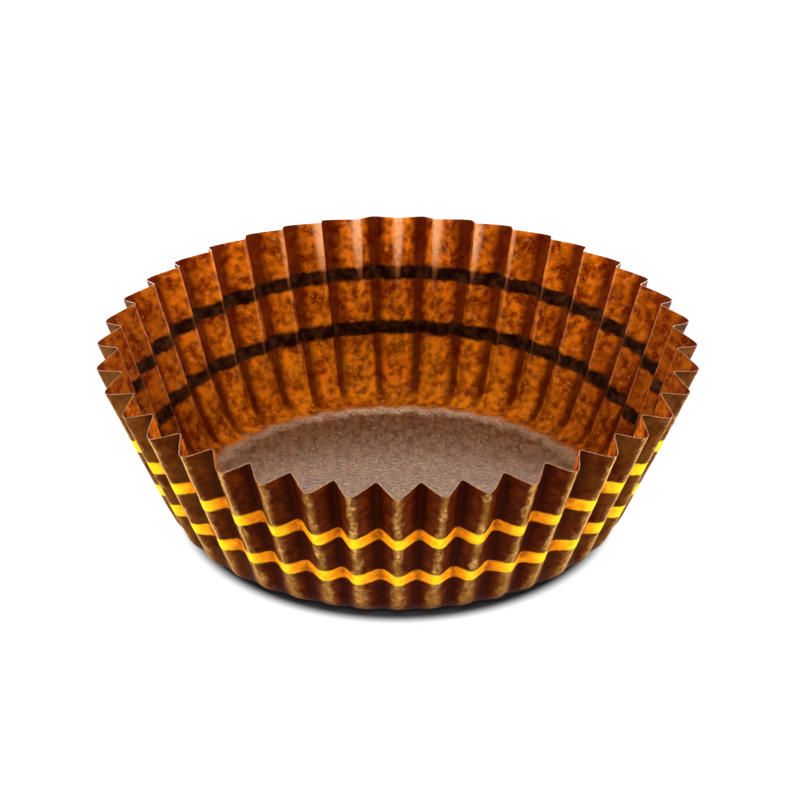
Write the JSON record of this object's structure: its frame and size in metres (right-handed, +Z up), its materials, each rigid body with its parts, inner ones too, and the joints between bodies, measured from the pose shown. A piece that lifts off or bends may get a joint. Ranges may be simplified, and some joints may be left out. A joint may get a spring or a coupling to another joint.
{
  "type": "cupcake liner",
  "caption": "Shallow round baking cup of pleated greaseproof paper, with a flat floor and a flared, fluted wall, brown with two printed gold lines.",
  "frame": {"origin": "middle of the floor's underside, on the surface that the cup stands on", "axes": "+Z up along the cup's axis; an outward fold points along -Y, the front"},
  "size_m": [0.0482, 0.0479, 0.0146],
  "materials": {
    "brown_paper": "thin greaseproof paper, brown on both faces, with two printed gold lines round the outside"
  },
  "bodies": {
    "root": {"paper_cup": "brown_paper"}
  },
  "joints": []
}
